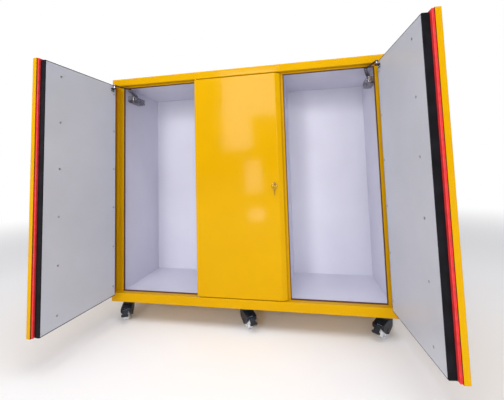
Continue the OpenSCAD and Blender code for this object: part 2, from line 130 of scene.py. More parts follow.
def door_place(side):
    """From a door's coordinates to the row frame at rest: x from hinge to free edge, y inwards, z up."""
    joint = joints[side + "_door_hinge"]
    x, y, _ = joint["pos_m"]
    rest_open = 0 if side == "middle" else joint["range_deg"][1]
    mirror = Matrix.Scale(-1, 4, X) if side == "right" else Matrix.Identity(4)
    return Matrix.Translation((x, y, 0)) @ mirror @ turn_z(-rest_open)


def castor_place(end, side):
    """From a castor's own coordinates, wheel trailing towards -Y and axle along X, to the row frame."""
    roll = joints[f"{end}_{side}_roll"]
    ax, ay, _ = roll["axis"]
    turn = math.degrees(math.atan2(ay, ax)) if end == "front" else 180
    x, y, _ = roll["pos_m"]
    return Matrix.Translation((x, y, body_low.z)) @ turn_z(turn) @ Matrix.Translation((0, TRAIL, 0))


def side_place(side):
    """From coordinates in from a side of the body, back from the rail's face and up from the underside."""
    if side == "left":
        return Matrix.Translation((body_low.x, rail_front, body_low.z))
    return Matrix.Translation((body_high.x, rail_front, body_low.z)) @ Matrix.Scale(-1, 4, X)


def linkage_places(side):
    """Places of a closer's arm, along X from its spindle, and of its link, along X from the door's pin."""
    body = side_place(side)
    pin = (body.inverted() @ Vector(joints[side + "_link_turn"]["pos_m"])).to_2d()
    spindle = Vector(SPINDLE)
    apart = (pin - spindle).length
    ahead = (pin - spindle) / apart
    along = (ARM_LENGTH ** 2 - LINK_LENGTH ** 2 + apart ** 2) / (2 * apart)
    aside = math.sqrt(ARM_LENGTH ** 2 - along ** 2)
    elbow = spindle + ahead * along + Vector((-ahead.y, ahead.x)) * aside
    places = []
    for start in (spindle, pin):
        away = elbow - start
        turn = turn_z(math.degrees(math.atan2(away.y, away.x)))
        places.append(body @ Matrix.Translation(start.to_3d()) @ turn)
    return places


def extent(node, place=Matrix.Identity(4)):
    """Lowest and highest corner of a CAD node in the coordinates of place."""
    back = place.inverted()
    points = [back @ vertex.co for vertex in nodes[node].data.vertices]
    low = Vector(min(p[i] for p in points) for i in range(3))
    high = Vector(max(p[i] for p in points) for i in range(3))
    return low, high


# ---- Outlines, as lists of 2-D points ----

def rectangle(u0, u1, v0, v1):
    return [(u0, v0), (u1, v0), (u1, v1), (u0, v1)]


def centred(half_u, half_v):
    return rectangle(-half_u, half_u, -half_v, half_v)


def circle(radius, sides=32, centre=(0, 0)):
    steps = [2 * math.pi * i / sides for i in range(sides)]
    return [(centre[0] + radius * math.cos(a), centre[1] + radius * math.sin(a)) for a in steps]


def rounded(corners, radii, steps=5):
    """Rounds each corner of a closed outline to its radius; radii is one number or one for each corner."""
    if not isinstance(radii, (list, tuple)):
        radii = [radii] * len(corners)
    out = []
    for i, radius in enumerate(radii):
        corner = Vector(corners[i])
        before = (Vector(corners[i - 1]) - corner).normalized()
        after = (Vector(corners[(i + 1) % len(corners)]) - corner).normalized()
        half = before.angle(after) / 2
        if radius <= 0 or half > STRAIGHT:
            out.append(tuple(corner))
            continue
        centre = corner + (before + after).normalized() * radius / math.sin(half)
        start = corner + before * radius / math.tan(half) - centre
        sweep = start.angle_signed(corner + after * radius / math.tan(half) - centre)
        for k in range(steps + 1):
            spot = centre + Matrix.Rotation(-sweep * k / steps, 2) @ start
            out.append(tuple(spot))
    return out


def stadium(length, start_radius, end_radius, steps=14):
    """Outline round two circles on the u axis, at 0 and at length."""
    lean = math.asin((start_radius - end_radius) / length)
    out = []
    for centre, radius, first, last in ((length, end_radius, lean - math.pi / 2, math.pi / 2 - lean),
                                        (0, start_radius, math.pi / 2 - lean, 1.5 * math.pi + lean)):
        for k in range(steps + 1):
            angle = first + (last - first) * k / steps
            out.append((centre + radius * math.cos(angle), radius * math.sin(angle)))
    return out


def folded(path, bend=BEND):
    """Outline of a folded sheet whose middle follows path, with rounded bends."""
    points = [Vector(p) for p in path]
    sides = {1: [], -1: []}
    radii = {1: [], -1: []}
    for i, point in enumerate(points):
        ahead = (points[i + 1] - point).normalized() if i + 1 < len(points) else None
        behind = (point - points[i - 1]).normalized() if i else None
        first, second = behind or ahead, ahead or behind
        normal_a = Vector((-first.y, first.x))
        normal_b = Vector((-second.y, second.x))
        mitre = (normal_a + normal_b) / (1 + normal_a.dot(normal_b))
        left_turn = first.cross(second)
        for side in sides:
            sides[side].append(tuple(point + mitre * side * SHEET / 2))
            inner = left_turn * side > 0
            radii[side].append(0 if abs(left_turn) < TINY else bend if inner else bend + SHEET)
    return rounded(sides[1] + sides[-1][::-1], radii[1] + radii[-1][::-1])


# ---- Solids, added to a bmesh ----

def join_rings(bm, first, second):
    """Faces between two rings of vertices; a ring of one vertex is a pole."""
    count = max(len(first), len(second))
    for i in range(count):
        j = (i + 1) % count
        near = (first[i % len(first)], first[j % len(first)])
        far = (second[j % len(second)], second[i % len(second)])
        bm.faces.new(list(dict.fromkeys(near + far)))


def skin(bm, rings, loop=False):
    """Skins rings of points in order, then closes the ends, or joins the last ring to the first."""
    rows = [[bm.verts.new(point) for point in ring] for ring in rings]
    for first, second in zip(rows, rows[1:]):
        join_rings(bm, first, second)
    if loop:
        join_rings(bm, rows[-1], rows[0])
        return
    for row in (rows[0], rows[-1]):
        if len(row) > 2:
            bm.faces.new(row)


def lift(axis, u, v, height):
    """The 3-D point over (u, v) at a height along an axis."""
    order = {"x": (height, u, v), "y": (u, height, v), "z": (u, v, height)}
    return Vector(order[axis])


def prism(bm, outline, axis, low, high):
    skin(bm, [[lift(axis, u, v, w) for u, v in outline] for w in (low, high)])


def block(bm, low, high):
    prism(bm, rectangle(low[0], high[0], low[1], high[1]), "z", low[2], high[2])


def round_hole(outline, hole):
    """Points on the edge of a hole (u, v, radius), one facing each point of the outline round it."""
    u0, v0, radius = hole
    inner = []
    for u, v in outline:
        away = Vector((u - u0, v - v0)).normalized() * radius
        inner.append((u0 + away.x, v0 + away.y))
    return inner


def holed_plate(bm, outline, hole, axis, low, high):
    """A plate with a round hole right through it."""
    inner = round_hole(outline, hole)
    rings = [(outline, low), (outline, high), (inner, high), (inner, low)]
    skin(bm, [[lift(axis, u, v, w) for u, v in ring] for ring, w in rings], loop=True)


def pocketed(bm, outline, pocket, axis, low, floor, high):
    """A block with a round pocket in its high face, down to floor."""
    inner = round_hole(outline, pocket)
    rings = [(outline, low), (outline, high), (inner, high), (inner, floor)]
    skin(bm, [[lift(axis, u, v, w) for u, v in ring] for ring, w in rings])


def hexagon_reach(u, v):
    """How far a hexagon reaches towards (u, v), as a share of the circle through its corners."""
    angle = (math.atan2(v, u) + 2 * math.pi) % (math.pi / 3) - math.pi / 6
    return math.cos(math.pi / 6) / math.cos(angle)


def socket_head(bm, centre, axis, radius, height, sides=24):
    """Screw head with a chamfered rim and a six-sided socket."""
    turn = Vector(Z).rotation_difference(Vector(axis))
    rings = []
    for share, rise, six_sided in ((1.0, 0.0, False), (1.0, 0.75, False), (0.88, 1.0, False),
                                   (0.56, 1.0, True), (0.52, 0.25, True)):
        row = []
        for u, v in circle(radius * share, sides):
            reach = hexagon_reach(u, v) if six_sided else 1
            row.append(Vector(centre) + turn @ Vector((u * reach, v * reach, rise * height)))
        rings.append(row)
    skin(bm, rings)


def lathe(bm, profile, centre, axis, sides=32, loop=False):
    """Turns (radius, height) points about an axis through centre. A radius of 0 is a pole."""
    turn = Vector(Z).rotation_difference(Vector(axis))
    rings = []
    for radius, height in profile:
        flat = circle(radius, sides) if radius > 0 else [(0, 0)]
        rings.append([Vector(centre) + turn @ Vector((u, v, height)) for u, v in flat])
    skin(bm, rings, loop)


def rectangular_ring(bm, outer, inner, profile):
    """A mitred frame in the X-Z plane. outer and inner are (x0, x1, z0, z1); profile has (inset, y) points.

    An inset of None lies on the inner rectangle."""
    rings = []
    for inset, y in profile:
        x0, x1, z0, z1 = inner if inset is None else (
            outer[0] + inset, outer[1] - inset, outer[2] + inset, outer[3] - inset)
        rings.append([Vector((x, y, z)) for x, z in rectangle(x0, x1, z0, z1)])
    skin(bm, rings, loop=True)


def ring_wire(bm, centre, radius, wire, axis, around=48, sides=10):
    profile = [(radius + u, v) for u, v in circle(wire, sides)]
    lathe(bm, profile, centre, axis, around, loop=True)


# ---- Pieces ----

def piece(name, bm, body, slot, replaces=(), place=None, bevel=0, segments=3, finish=None):
    """Finishes a bmesh as an object that rides on a body and stands for CAD nodes."""
    if place is not None:
        bm.transform(place)
    bmesh.ops.recalc_face_normals(bm, faces=bm.faces)
    if bm.calc_volume(signed=True) < 0:
        bmesh.ops.reverse_faces(bm, faces=bm.faces)
    mesh = bpy.data.meshes.new(name)
    bm.to_mesh(mesh)
    bm.free()
    mesh.shade_smooth()
    if not bevel:
        mesh.set_sharp_from_angle(angle=SHARP)
    mesh.materials.append(finish or MATERIALS[slot])
    made = bpy.data.objects.new(name, mesh)
    bpy.context.scene.collection.objects.link(made)
    if bevel:
        edge = made.modifiers.new("rounded_edges", "BEVEL")
        edge.width = bevel
        edge.segments = segments
        edge.limit_method = "ANGLE"
        edge.angle_limit = SHARP
        edge.harden_normals = True
    else:
        flat = made.modifiers.new("flat_faces", "WEIGHTED_NORMAL")
        flat.keep_sharp = True
    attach(made, body)
    if replaces:
        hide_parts(*replaces)
    return made


# ---- Materials ----

def add_node(tree, kind, links=(), **settings):
    """Adds a node; links gives each input socket another node's output or a value."""
    made = tree.nodes.new(kind)
    for name, value in settings.items():
        setattr(made, name, value)
    for socket, source in dict(links).items():
        if isinstance(source, bpy.types.NodeSocket):
            tree.links.new(source, made.inputs[socket])
        else:
            made.inputs[socket].default_value = source
    return made


class Finish:
    """A material's node tree, with short ways to add what these finishes share."""

    def __init__(self, name, **constants):
        self.material = bpy.data.materials.new(name)
        self.material.use_nodes = True
        self.tree = self.material.node_tree
        self.shader = self.tree.nodes["Principled BSDF"]
        for socket, value in constants.items():
            self.shader.inputs[socket.replace("_", " ")].default_value = value

    def node(self, kind, links=(), **settings):
        return add_node(self.tree, kind, links, **settings)

    def noise(self, scale, detail=2.0, stretch=(1, 1, 1)):
        """Noise in the piece's own coordinates, at scale features a metre."""
        spot = self.node("ShaderNodeTexCoord").outputs["Object"]
        spot = self.node("ShaderNodeMapping", {"Vector": spot, "Scale": stretch}).outputs["Vector"]
        links = {"Vector": spot, "Scale": scale, "Detail": detail}
        return self.node("ShaderNodeTexNoise", links).outputs["Fac"]

    def ramp(self, value, stops):
        """Colours between the stops, each (position, colour)."""
        made = self.node("ShaderNodeValToRGB", {"Fac": value})
        elements = made.color_ramp.elements
        while len(elements) < len(stops):
            elements.new(0.5)
        for element, (position, colour) in zip(elements, stops):
            element.position = position
            element.color = (*colour, 1)
        return made.outputs["Color"]

    def span(self, value, low, high):
        """Noise, which mostly lies between 0.3 and 0.7, spread over a range."""
        links = {"Value": value, "From Min": 0.3, "From Max": 0.7, "To Min": low, "To Max": high}
        return self.node("ShaderNodeMapRange", links).outputs["Result"]

    def mix(self, share, first, second):
        """Blends two colours. Sockets 0, 6 and 7 are a colour mix's factor and its two colours."""
        links = {0: share, 6: first, 7: second}
        for index in (6, 7):
            if isinstance(links[index], tuple):
                links[index] = (*links[index], 1)
        return self.node("ShaderNodeMix", links, data_type="RGBA").outputs[2]

    def bump(self, height, distance, strength=1.0, under=None):
        links = {"Height": height, "Distance": distance, "Strength": strength}
        if under is not None:
            links["Normal"] = under
        return self.node("ShaderNodeBump", links).outputs["Normal"]

    def edges(self, radius):
        """0 on flat faces, rising to 1 along edges, by comparing the normal with a rounded one."""
        round_normal = self.node("ShaderNodeBevel", {"Radius": radius}, samples=4).outputs["Normal"]
        flat_normal = self.node("ShaderNodeNewGeometry").outputs["Normal"]
        links = {0: round_normal, 1: flat_normal}
        alike = self.node("ShaderNodeVectorMath", links, operation="DOT_PRODUCT").outputs["Value"]
        links = {"Value": alike, "From Min": 0.98, "From Max": 0.80, "To Min": 0.0, "To Max": 1.0}
        return self.node("ShaderNodeMapRange", links).outputs["Result"]

    def colour(self, source):
        self.tree.links.new(source, self.shader.inputs["Base Color"])

    def roughness(self, source):
        self.tree.links.new(source, self.shader.inputs["Roughness"])

    def normal(self, source):
        self.tree.links.new(source, self.shader.inputs["Normal"])


def yellow_enamel():
    """Baked gloss enamel: slight shade changes, orange-peel, sheet waviness and worn folds."""
    f = Finish("yellow_enamel", Specular_IOR_Level=0.07)
    paint = f.ramp(f.noise(2.2, 3), [(0.3, (0.585, 0.305, 0.0010)), (0.7, (0.645, 0.350, 0.0014))])
    scuffs = f.ramp(f.noise(38, 6), [(0.56, (0, 0, 0)), (0.70, (1, 1, 1))])
    worn = f.mix(f.edges(1.2 * MM), (0, 0, 0), scuffs)
    f.colour(f.mix(worn, paint, (0.38, 0.18, 0.02)))
    f.roughness(f.span(f.noise(7, 4), 0.06, 0.13))
    waves = f.bump(f.noise(4.2, 1), 4 * MM, 0.15)
    f.normal(f.bump(f.noise(420, 2), 0.02 * MM, 0.30, waves))
    return f.material


def laminate(name, dark, light):
    """Smooth laminate with a faint emboss and slight yellowing."""
    f = Finish(name, Specular_IOR_Level=0.4)
    f.colour(f.ramp(f.noise(3.5, 3), [(0.3, dark), (0.7, light)]))
    f.roughness(f.span(f.noise(9, 4), 0.30, 0.44))
    f.normal(f.bump(f.noise(900, 2), 0.03 * MM, 0.4))
    return f.material


def silicate_board():
    """Raw pressed board: chalky, with fine pits."""
    f = Finish("silicate_board", Specular_IOR_Level=0.2)
    f.colour(f.ramp(f.noise(60, 6), [(0.3, (0.50, 0.47, 0.40)), (0.7, (0.62, 0.59, 0.52))]))
    f.roughness(f.span(f.noise(40, 3), 0.80, 0.95))
    f.normal(f.bump(f.noise(500, 6), 0.3 * MM, 0.5))
    return f.material


def black_edging():
    """Black edge band with a fine lengthwise grain."""
    f = Finish("black_edging", Specular_IOR_Level=0.08)
    f.colour(f.ramp(f.noise(30, 4), [(0.3, (0.004, 0.004, 0.005)), (0.7, (0.009, 0.009, 0.012))]))
    f.roughness(f.span(f.noise(50, 4, (1, 1, 0.05)), 0.34, 0.50))
    f.normal(f.bump(f.noise(300, 3, (1, 1, 0.05)), 0.08 * MM, 0.4))
    return f.material


def heat_seal():
    """Red heat-swelling strip: matt, slightly mottled, finely ribbed by its extrusion."""
    f = Finish("heat_seal", Specular_IOR_Level=0.35)
    f.colour(f.ramp(f.noise(70, 5), [(0.3, (0.60, 0.020, 0.022)), (0.7, (0.74, 0.040, 0.042))]))
    f.roughness(f.span(f.noise(120, 3), 0.50, 0.66))
    f.normal(f.bump(f.noise(650, 3, (1, 1, 0.04)), 0.1 * MM, 0.5))
    return f.material


def opening_strip_painted_shade():
    """Dark brown-red strip round the openings; its near-black colour is painted shade, standing for the shadowed
    gap between frame and liner.
    """
    f = Finish("opening_strip_painted_shade", Specular_IOR_Level=0.35)
    f.colour(f.ramp(f.noise(80, 4), [(0.3, (0.075, 0.022, 0.014)), (0.7, (0.115, 0.035, 0.022))]))
    f.roughness(f.span(f.noise(90, 3), 0.50, 0.68))
    f.normal(f.bump(f.noise(500, 3, (1, 1, 0.06)), 0.1 * MM, 0.5))
    return f.material


def zinc_steel(name, dark, light, low, high):
    """Zinc-plated steel: cloudy patches and hairline marks."""
    f = Finish(name, Metallic=1.0)
    f.colour(f.ramp(f.noise(140, 4), [(0.3, dark), (0.7, light)]))
    f.roughness(f.span(f.noise(220, 5), low, high))
    f.normal(f.bump(f.noise(900, 4, (1, 0.2, 1)), 0.04 * MM, 0.4))
    return f.material


def silver_casting():
    """Silver lacquer over a die casting, with a fine grain."""
    f = Finish("silver_casting", Metallic=0.9)
    f.colour(f.ramp(f.noise(90, 4), [(0.3, (0.20, 0.19, 0.21)), (0.7, (0.31, 0.30, 0.33))]))
    f.roughness(f.span(f.noise(160, 4), 0.22, 0.34))
    f.normal(f.bump(f.noise(1200, 3), 0.05 * MM, 0.4))
    return f.material


def dark_plated():
    """Blackened steel of the closers' links."""
    f = Finish("dark_plated", Metallic=0.5)
    f.colour(f.ramp(f.noise(110, 4), [(0.3, (0.020, 0.019, 0.022)), (0.7, (0.040, 0.038, 0.042))]))
    f.roughness(f.span(f.noise(150, 4), 0.32, 0.46))
    f.normal(f.bump(f.noise(900, 3), 0.04 * MM, 0.4))
    return f.material


def moulded_black():
    """Black moulded castor hoods with a spark-eroded texture, dusty in patches."""
    f = Finish("moulded_black", Specular_IOR_Level=0.3)
    dust = f.ramp(f.noise(26, 5), [(0.50, (0, 0, 0)), (0.85, (1, 1, 1))])
    plastic = f.ramp(f.noise(60, 3), [(0.3, (0.007, 0.010, 0.016)), (0.7, (0.013, 0.017, 0.026))])
    f.colour(f.mix(dust, plastic, (0.035, 0.038, 0.046)))
    f.roughness(f.span(f.noise(80, 4), 0.30, 0.46))
    f.normal(f.bump(f.noise(1300, 3), 0.05 * MM, 0.5))
    return f.material


def wheel_nylon():
    """Pale nylon wheels with grey scuffing."""
    f = Finish("wheel_nylon", Specular_IOR_Level=0.5)
    scuffs = f.ramp(f.noise(90, 6), [(0.50, (0, 0, 0)), (0.75, (1, 1, 1))])
    nylon = f.ramp(f.noise(25, 3), [(0.3, (0.62, 0.62, 0.64)), (0.7, (0.74, 0.74, 0.76))])
    f.colour(f.mix(scuffs, nylon, (0.34, 0.33, 0.32)))
    f.roughness(f.span(f.noise(70, 4), 0.28, 0.48))
    f.normal(f.bump(f.noise(500, 4), 0.08 * MM, 0.4))
    return f.material


MATERIALS = {
    "body_yellow": yellow_enamel(),
    "white_liner": laminate("white_laminate", (0.655, 0.65, 0.75), (0.71, 0.71, 0.81)),
    "fire_board": silicate_board(),
    "door_edge": black_edging(),
    "red_seal": heat_seal(),
    # The openings' strip is partly real and partly painted shade: its dark colour stands for the gap between frame
    # and liner lying in shadow.
    "dark_strip": opening_strip_painted_shade(),
    "screw_steel": zinc_steel("screw_zinc", (0.30, 0.30, 0.32), (0.46, 0.46, 0.48), 0.30, 0.46),
    "pin_steel": zinc_steel("ground_steel", (0.55, 0.55, 0.57), (0.68, 0.68, 0.70), 0.18, 0.30),
    "lock_metal": zinc_steel("satin_brass", (0.58, 0.33, 0.03), (0.72, 0.44, 0.06), 0.20, 0.32),
    "key_metal": zinc_steel("key_brass", (0.20, 0.13, 0.04), (0.34, 0.24, 0.09), 0.24, 0.38),
    "closer_metal": silver_casting(),
    "closer_link": dark_plated(),
    "castor_plate": zinc_steel("castor_zinc", (0.46, 0.46, 0.48), (0.62, 0.62, 0.64), 0.26, 0.42),
    "castor_black": moulded_black(),
    "castor_wheel": wheel_nylon(),
}
# A darker copy of the white laminate for the doors' inner panels: painted shade, for open door panels that face
# each other, away from the light.
SHADED_DOOR_LAMINATE = laminate("door_laminate_painted_shade", (0.49, 0.52, 0.59), (0.54, 0.565, 0.64))


def paint_cad_nodes():
    """Gives each CAD node that stays in view its slot's material."""
    for part in frame["record"]["subparts"]:
        finish = MATERIALS[part["material_slot"]]
        nodes[part["node"]].data.materials.clear()
        nodes[part["node"]].data.materials.append(finish)


# ---- Cabinet body ----

body_low, body_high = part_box("left_side_panel")[0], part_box("right_side_panel")[1]
panel_front = body_low.y
rail_front = panel_front - RAIL_DEPTH
door_low, door_high = extent("middle_door_pan", door_place("middle"))
rail_bottom = door_high.z + DOOR_GAP
ledge_top = door_low.z - DOOR_GAP


def outer_panels():
    """Thin outer sheets with eased edges, so that the seams between them catch the light."""
    for name in ("left_side_panel", "right_side_panel", "top_panel", "back_panel"):
        bm = bmesh.new()
        block(bm, *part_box(name))
        piece("sheet_" + name, bm, "cabinet", "body_yellow", [name], bevel=0.5 * MM, segments=2)


def end_caps(bm, z0, z1):
    """Plates that close a rail's two ends."""
    inset = 0.4 * MM
    for x in (body_low.x + inset, body_high.x - SHEET - inset):
        block(bm, (x, rail_front + SHEET, z0 + SHEET), (x + SHEET, panel_front, z1 - SHEET))


def top_rail():
    half = SHEET / 2
    lip_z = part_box("top_rail")[0].z + half
    path = [(panel_front, body_high.z - half), (rail_front + half, body_high.z - half),
            (rail_front + half, rail_bottom + half), (panel_front + half, rail_bottom + half),
            (panel_front + half, lip_z), (panel_front + LIP_DEPTH, lip_z)]
    bm = bmesh.new()
    prism(bm, folded(path), "x", body_low.x, body_high.x)
    end_caps(bm, rail_bottom, body_high.z)
    piece("folded_top_rail", bm, "cabinet", "body_yellow", ["top_rail"])


def bottom_rail():
    half = SHEET / 2
    path = [(panel_front, body_low.z + half), (rail_front + half, body_low.z + half),
            (rail_front + half, ledge_top - half), (panel_front + LIP_DEPTH, ledge_top - half)]
    bm = bmesh.new()
    prism(bm, folded(path), "x", body_low.x, body_high.x)
    end_caps(bm, body_low.z, ledge_top)
    piece("folded_bottom_rail", bm, "cabinet", "body_yellow", ["bottom_rail"])


def posts():
    half = SHEET / 2
    low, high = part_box("posts")
    back = panel_front + LIP_DEPTH
    bm = bmesh.new()
    for wall, inward in ((low.x, 1), (high.x, -1)):
        edge = (body_low.x if inward > 0 else body_high.x) + inward * (POST_WIDTH - STRIP)
        path = [(wall + inward * half, back), (wall + inward * half, panel_front + half),
                (edge - inward * half, panel_front + half), (edge - inward * half, back)]
        prism(bm, folded(path, bend=LIP_BEND), "z", low.z, high.z)
    piece("folded_posts", bm, "cabinet", "body_yellow", ["posts"])


def mullion_spans():
    """The two mullions' faces, each (x0, x1)."""
    low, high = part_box("mullions")
    face = MULLION_WIDTH - 2 * STRIP
    return [(low.x, low.x + face), (high.x - face, high.x)]


def mullions():
    half = SHEET / 2
    low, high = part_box("mullions")
    back = panel_front + LIP_DEPTH
    bm = bmesh.new()
    for x0, x1 in mullion_spans():
        path = [(x0 + half, back), (x0 + half, panel_front + half),
                (x1 - half, panel_front + half), (x1 - half, back)]
        prism(bm, folded(path), "z", low.z, high.z)
        web = rectangle((x0 + x1) / 2 - MM, (x0 + x1) / 2 + MM, panel_front + SHEET, high.y)
        prism(bm, web, "z", low.z, high.z)
    piece("folded_mullions", bm, "cabinet", "body_yellow", ["mullions"])


def bay_spans():
    """The three openings' widths, each (x0, x1)."""
    (a0, a1), (b0, b1) = mullion_spans()
    left, right = body_low.x + POST_WIDTH, body_high.x - POST_WIDTH
    return [(left, a0 - STRIP), (a1 + STRIP, b0 - STRIP), (b1 + STRIP, right)]


def opening_strips():
    """A strip with a rounded nose round each opening, dark as painted shade of the gap behind the frame."""
    low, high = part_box("opening_strips")
    bm = bmesh.new()
    for x0, x1 in bay_spans():
        outer = (x0 - STRIP, x1 + STRIP, low.z, high.z)
        inner = (x0, x1, low.z + STRIP, high.z - STRIP)
        nose = [(STRIP * (1 - math.cos(a)) / 2, low.y + 0.8 * MM * (1 - math.sin(a)))
                for a in (math.pi * k / 6 for k in range(7))]
        rectangular_ring(bm, outer, inner, nose + [(None, high.y), (0, high.y)])
    piece("shade_strips_round_openings", bm, "cabinet", "dark_strip", ["opening_strips"])


# ---- Doors ----

def door_pan(side):
    """Folded pan with rounded bends, open at the back."""
    node = side + "_door_pan"
    place = door_place(side)
    low, high = extent(node, place)
    outline = rectangle(low.x, high.x, low.y, high.y)
    if side == "middle":
        outline[1:2] = [(high.x - GRIP_WIDTH, low.y), (high.x, low.y + GRIP_BEVEL)]
    def at_back(part):
        return all(abs(v.co.y - high.y) < TINY for v in part.verts)

    bm = bmesh.new()
    prism(bm, outline, "z", low.z, high.z)
    bmesh.ops.recalc_face_normals(bm, faces=bm.faces)
    folds = [edge for edge in bm.edges if not at_back(edge)]
    bmesh.ops.bevel(bm, geom=folds, offset=BEND + SHEET / 2, segments=4, profile=0.5, affect="EDGES")
    bmesh.ops.delete(bm, geom=[face for face in bm.faces if at_back(face)], context="FACES")
    bmesh.ops.solidify(bm, geom=bm.faces[:], thickness=SHEET)
    piece("folded_" + node, bm, side + "_door", "body_yellow", [node], place)


def core_rectangle(side):
    """The plug behind a door's seal: (x0, x1, z0, z1) and its back y."""
    low, high = extent(side + "_door_liner", door_place(side))
    return (low.x - RIM, high.x + RIM, low.z - RIM, high.z + RIM), high.y


def door_seal(side):
    """Extruded strip with two beads along its outer edge."""
    node = side + "_door_seal"
    place = door_place(side)
    low, high = extent(node, place)
    core, _ = core_rectangle(side)
    lap = 14 * MM
    inner = (core[0] + lap, core[1] - lap, core[2] + lap, core[3] - lap)
    mid = (low.y + high.y) / 2
    bead = 0.9 * MM
    edge = [(bead, low.y), (0.2 * MM, low.y + bead), (0, (low.y + mid) / 2), (0.2 * MM, mid - bead),
            (1.3 * MM, mid), (0.2 * MM, mid + bead), (0, (mid + high.y) / 2),
            (0.2 * MM, high.y - bead), (bead, high.y)]
    bm = bmesh.new()
    rectangular_ring(bm, (low.x, high.x, low.z, high.z), inner, edge + [(None, high.y), (None, low.y)])
    piece("beaded_" + node, bm, side + "_door", "red_seal", [node], place)


def door_core(side):
    """Board with a black edge band whose rim stands round the inner panel."""
    node = side + "_door_core"
    place = door_place(side)
    low, _ = extent(node, place)
    _, seal_high = extent(side + "_door_seal", place)
    pan_low, pan_high = extent(side + "_door_pan", place)
    core, back = core_rectangle(side)
    ease = 0.8 * MM
    inner = (core[0] + RIM, core[1] - RIM, core[2] + RIM, core[3] - RIM)
    band = [(ease, seal_high.y), (0, seal_high.y + ease), (0, back - 2 * ease), (0.25 * ease, back - ease),
            (ease, back - 0.25 * ease), (2 * ease, back), (None, back), (None, seal_high.y)]
    bm = bmesh.new()
    rectangular_ring(bm, core, inner, band)
    block(bm, (inner[0], seal_high.y, inner[2]), (inner[1], back - SHEET, inner[3]))
    block(bm, (low.x, low.y, pan_low.z + SHEET), (pan_high.x - SHEET, pan_high.y, pan_high.z - SHEET))
    piece("edged_" + node, bm, side + "_door", "door_edge", [node], place)


def screw_places(side):
    core, _ = core_rectangle(side)
    bottom, top = core[2] + SCREW_EDGE, core[3] - SCREW_EDGE
    for x in (core[0] + SCREW_HINGE_SIDE, core[1] - SCREW_FREE_SIDE):
        for i in range(SCREW_ROWS):
            yield x, bottom + i * (top - bottom) / (SCREW_ROWS - 1)


def door_liner(side):
    """Inner panel: a thin sheet with an eased edge, in a darker copy of the white laminate whose darkness is
    painted shade.
    """
    node = side + "_door_liner"
    place = door_place(side)
    low, high = extent(node, place)
    bm = bmesh.new()
    outline = rounded(rectangle(low.x, high.x, low.z, high.z), 2 * MM)
    prism(bm, outline, "y", low.y, high.y)
    piece("eased_" + node, bm, side + "_door", "white_liner", [node], place, bevel=0.4 * MM, segments=2,
          finish=SHADED_DOOR_LAMINATE)


def screw_head(bm, x, z, y, radius=4 * MM, height=1.2 * MM, sides=24):
    """Pan head with a cross recess, standing on y and facing along Y."""
    rings = [(1.0, 0.0), (1.0, 0.35), (0.93, 0.68), (0.78, 0.88), (0.60, 0.97), (0.56, 0.98),
             (0.40, 1.0), (0.28, 1.0), (0.16, 1.0)]
    slot_half, slot_length, slot_depth = 0.13, 0.58, 0.75
    rows = []
    for share, rise in rings:
        row = []
        for u, v in circle(share, sides):
            in_cross = min(abs(u), abs(v)) < slot_half and max(abs(u), abs(v)) < slot_length
            level = rise - slot_depth if in_cross else rise
            row.append(Vector((x + u * radius, y + level * height, z + v * radius)))
        rows.append(row)
    rows.append([Vector((x, y + (1 - slot_depth) * height, z))])
    skin(bm, rows)


def door_screws(side):
    node = side + "_door_screws"
    _, back = core_rectangle(side)
    bm = bmesh.new()
    for x, z in screw_places(side):
        screw_head(bm, x, z, back)
    piece("cross_" + node, bm, side + "_door", "screw_steel", [node], door_place(side))


def doors():
    for side in ("left", "middle", "right"):
        door_pan(side)
        door_seal(side)
        door_liner(side)
        door_screws(side)
    for side in ("left", "right"):
        door_core(side)


# ---- Lock ----

def slot_hole(radius, half_width, half_height, sides=48):
    """Points of a circle drawn in to the edge of a slot, in the same directions."""
    out = []
    for u, v in circle(1, sides):
        reach = min(half_width / max(abs(u), TINY), half_height / max(abs(v), TINY), radius)
        out.append((u * reach, v * reach))
    return out


def lock_barrel(place):
    """Turned rose and barrel, bored for the plug."""
    bore = PLUG_R + 0.1 * MM
    depth = 34.9 * MM
    rim = -2.5 * MM
    profile = [(bore, depth), (bore, rim + 0.4 * MM), (bore + 0.4 * MM, rim + 0.1 * MM),
               (BARREL_R - 0.5 * MM, rim), (BARREL_R, rim + 0.5 * MM), (BARREL_R + 0.5 * MM, rim),
               (ROSE_R - 1.6 * MM, rim), (ROSE_R - 0.6 * MM, rim + 0.3 * MM), (ROSE_R, rim + 1.1 * MM),
               (ROSE_R, 0), (BARREL_R, 0), (BARREL_R, depth)]
    bm = bmesh.new()
    lathe(bm, profile, ORIGIN, Y, 48, loop=True)
    piece("turned_lock_body", bm, "middle_door", "lock_metal", ["lock_body"], place)


def lock_plug(place):
    """Plug with a keyway."""
    face = -3.2 * MM
    rings = [(circle(PLUG_R, 48), 36 * MM), (circle(PLUG_R, 48), face + 0.3 * MM),
             (circle(PLUG_R - 0.3 * MM, 48), face),
             (slot_hole(PLUG_R, 1.1 * MM, 4 * MM), face), (slot_hole(PLUG_R, 1.1 * MM, 4 * MM), 16 * MM)]
    bm = bmesh.new()
    skin(bm, [[lift("y", u, v, y) for u, v in ring] for ring, y in rings])
    piece("slotted_lock_plug", bm, "lock", "lock_metal", ["lock_plug"], place)


def bitted_blade(bm, axis_y, back, tip, top, bottom, half, cuts=5):
    """Key blade with cuts along its lower edge, in the Y-Z plane or, hung down, along Z."""
    pitch = (tip - back) / (2 * cuts)
    edge = []
    for i in range(2 * cuts):
        depth = (0.55 if i % 4 == 1 else 0.3) * (top - bottom) if i % 2 else 0
        edge.append((back + (i + 0.5) * pitch, bottom + depth))
    outline = [(back, bottom)] + edge + [(tip, (top + bottom) / 2), (tip, top - 0.3 * (top - bottom)),
                                         (tip - abs(pitch) * (1 if tip > back else -1), top), (back, top)]
    if not axis_y:
        outline = [(v, u) for u, v in outline]
    prism(bm, outline, "x", -half, half)


